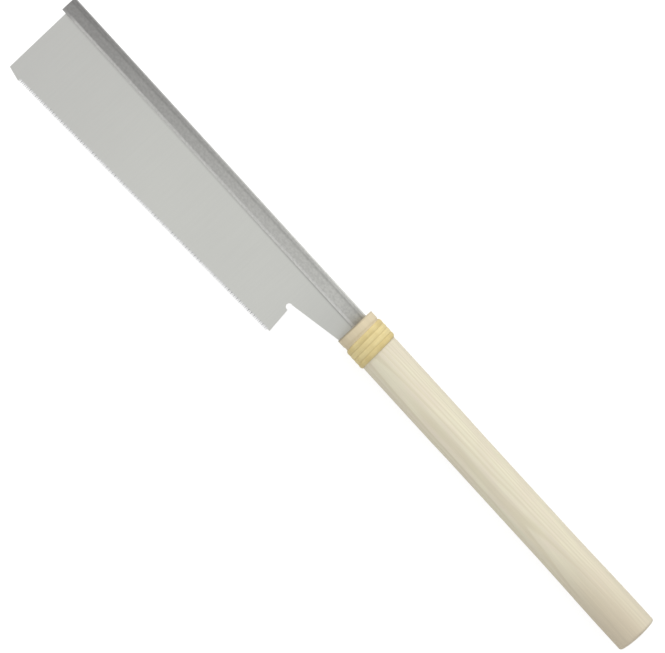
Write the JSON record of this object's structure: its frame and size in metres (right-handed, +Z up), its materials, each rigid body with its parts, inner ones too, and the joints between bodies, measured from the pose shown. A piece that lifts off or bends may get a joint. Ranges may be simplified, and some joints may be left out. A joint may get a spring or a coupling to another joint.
{
  "type": "dozuki saw",
  "caption": "Pull saw with a thin toothed steel plate, a folded steel spine along its back and a straight round wooden handle bound with rattan; the blade draws out of the handle.",
  "frame": {"origin": "centre of the butt's flat end face, on the handle's axis", "axes": "+X along the handle's axis from the butt to the toe of the blade, +Y towards the teeth, +Z up from the flat side of the blade; the plate lies in the plane Z = 0"},
  "size_m": [0.5506, 0.0691, 0.031],
  "materials": {
    "plate_steel": "satin, finely ground",
    "spine_steel": "brushed along its length",
    "socket_steel": "dull cold-rolled sheet",
    "handle_wood": "bare, sanded pale softwood",
    "rattan": "smooth natural cane skin"
  },
  "bodies": {
    "handle": {"handle_left_half": "handle_wood", "handle_right_half": "handle_wood", "rattan_binding": "rattan", "blade_socket": "socket_steel"},
    "blade": {"blade_plate": "plate_steel", "spine": "spine_steel"}
  },
  "joints": [
    {"name": "blade_draw", "type": "slide", "parent": "handle", "child": "blade", "axis": [1, 0, 0], "range_m": [0, 0.05]}
  ]
}
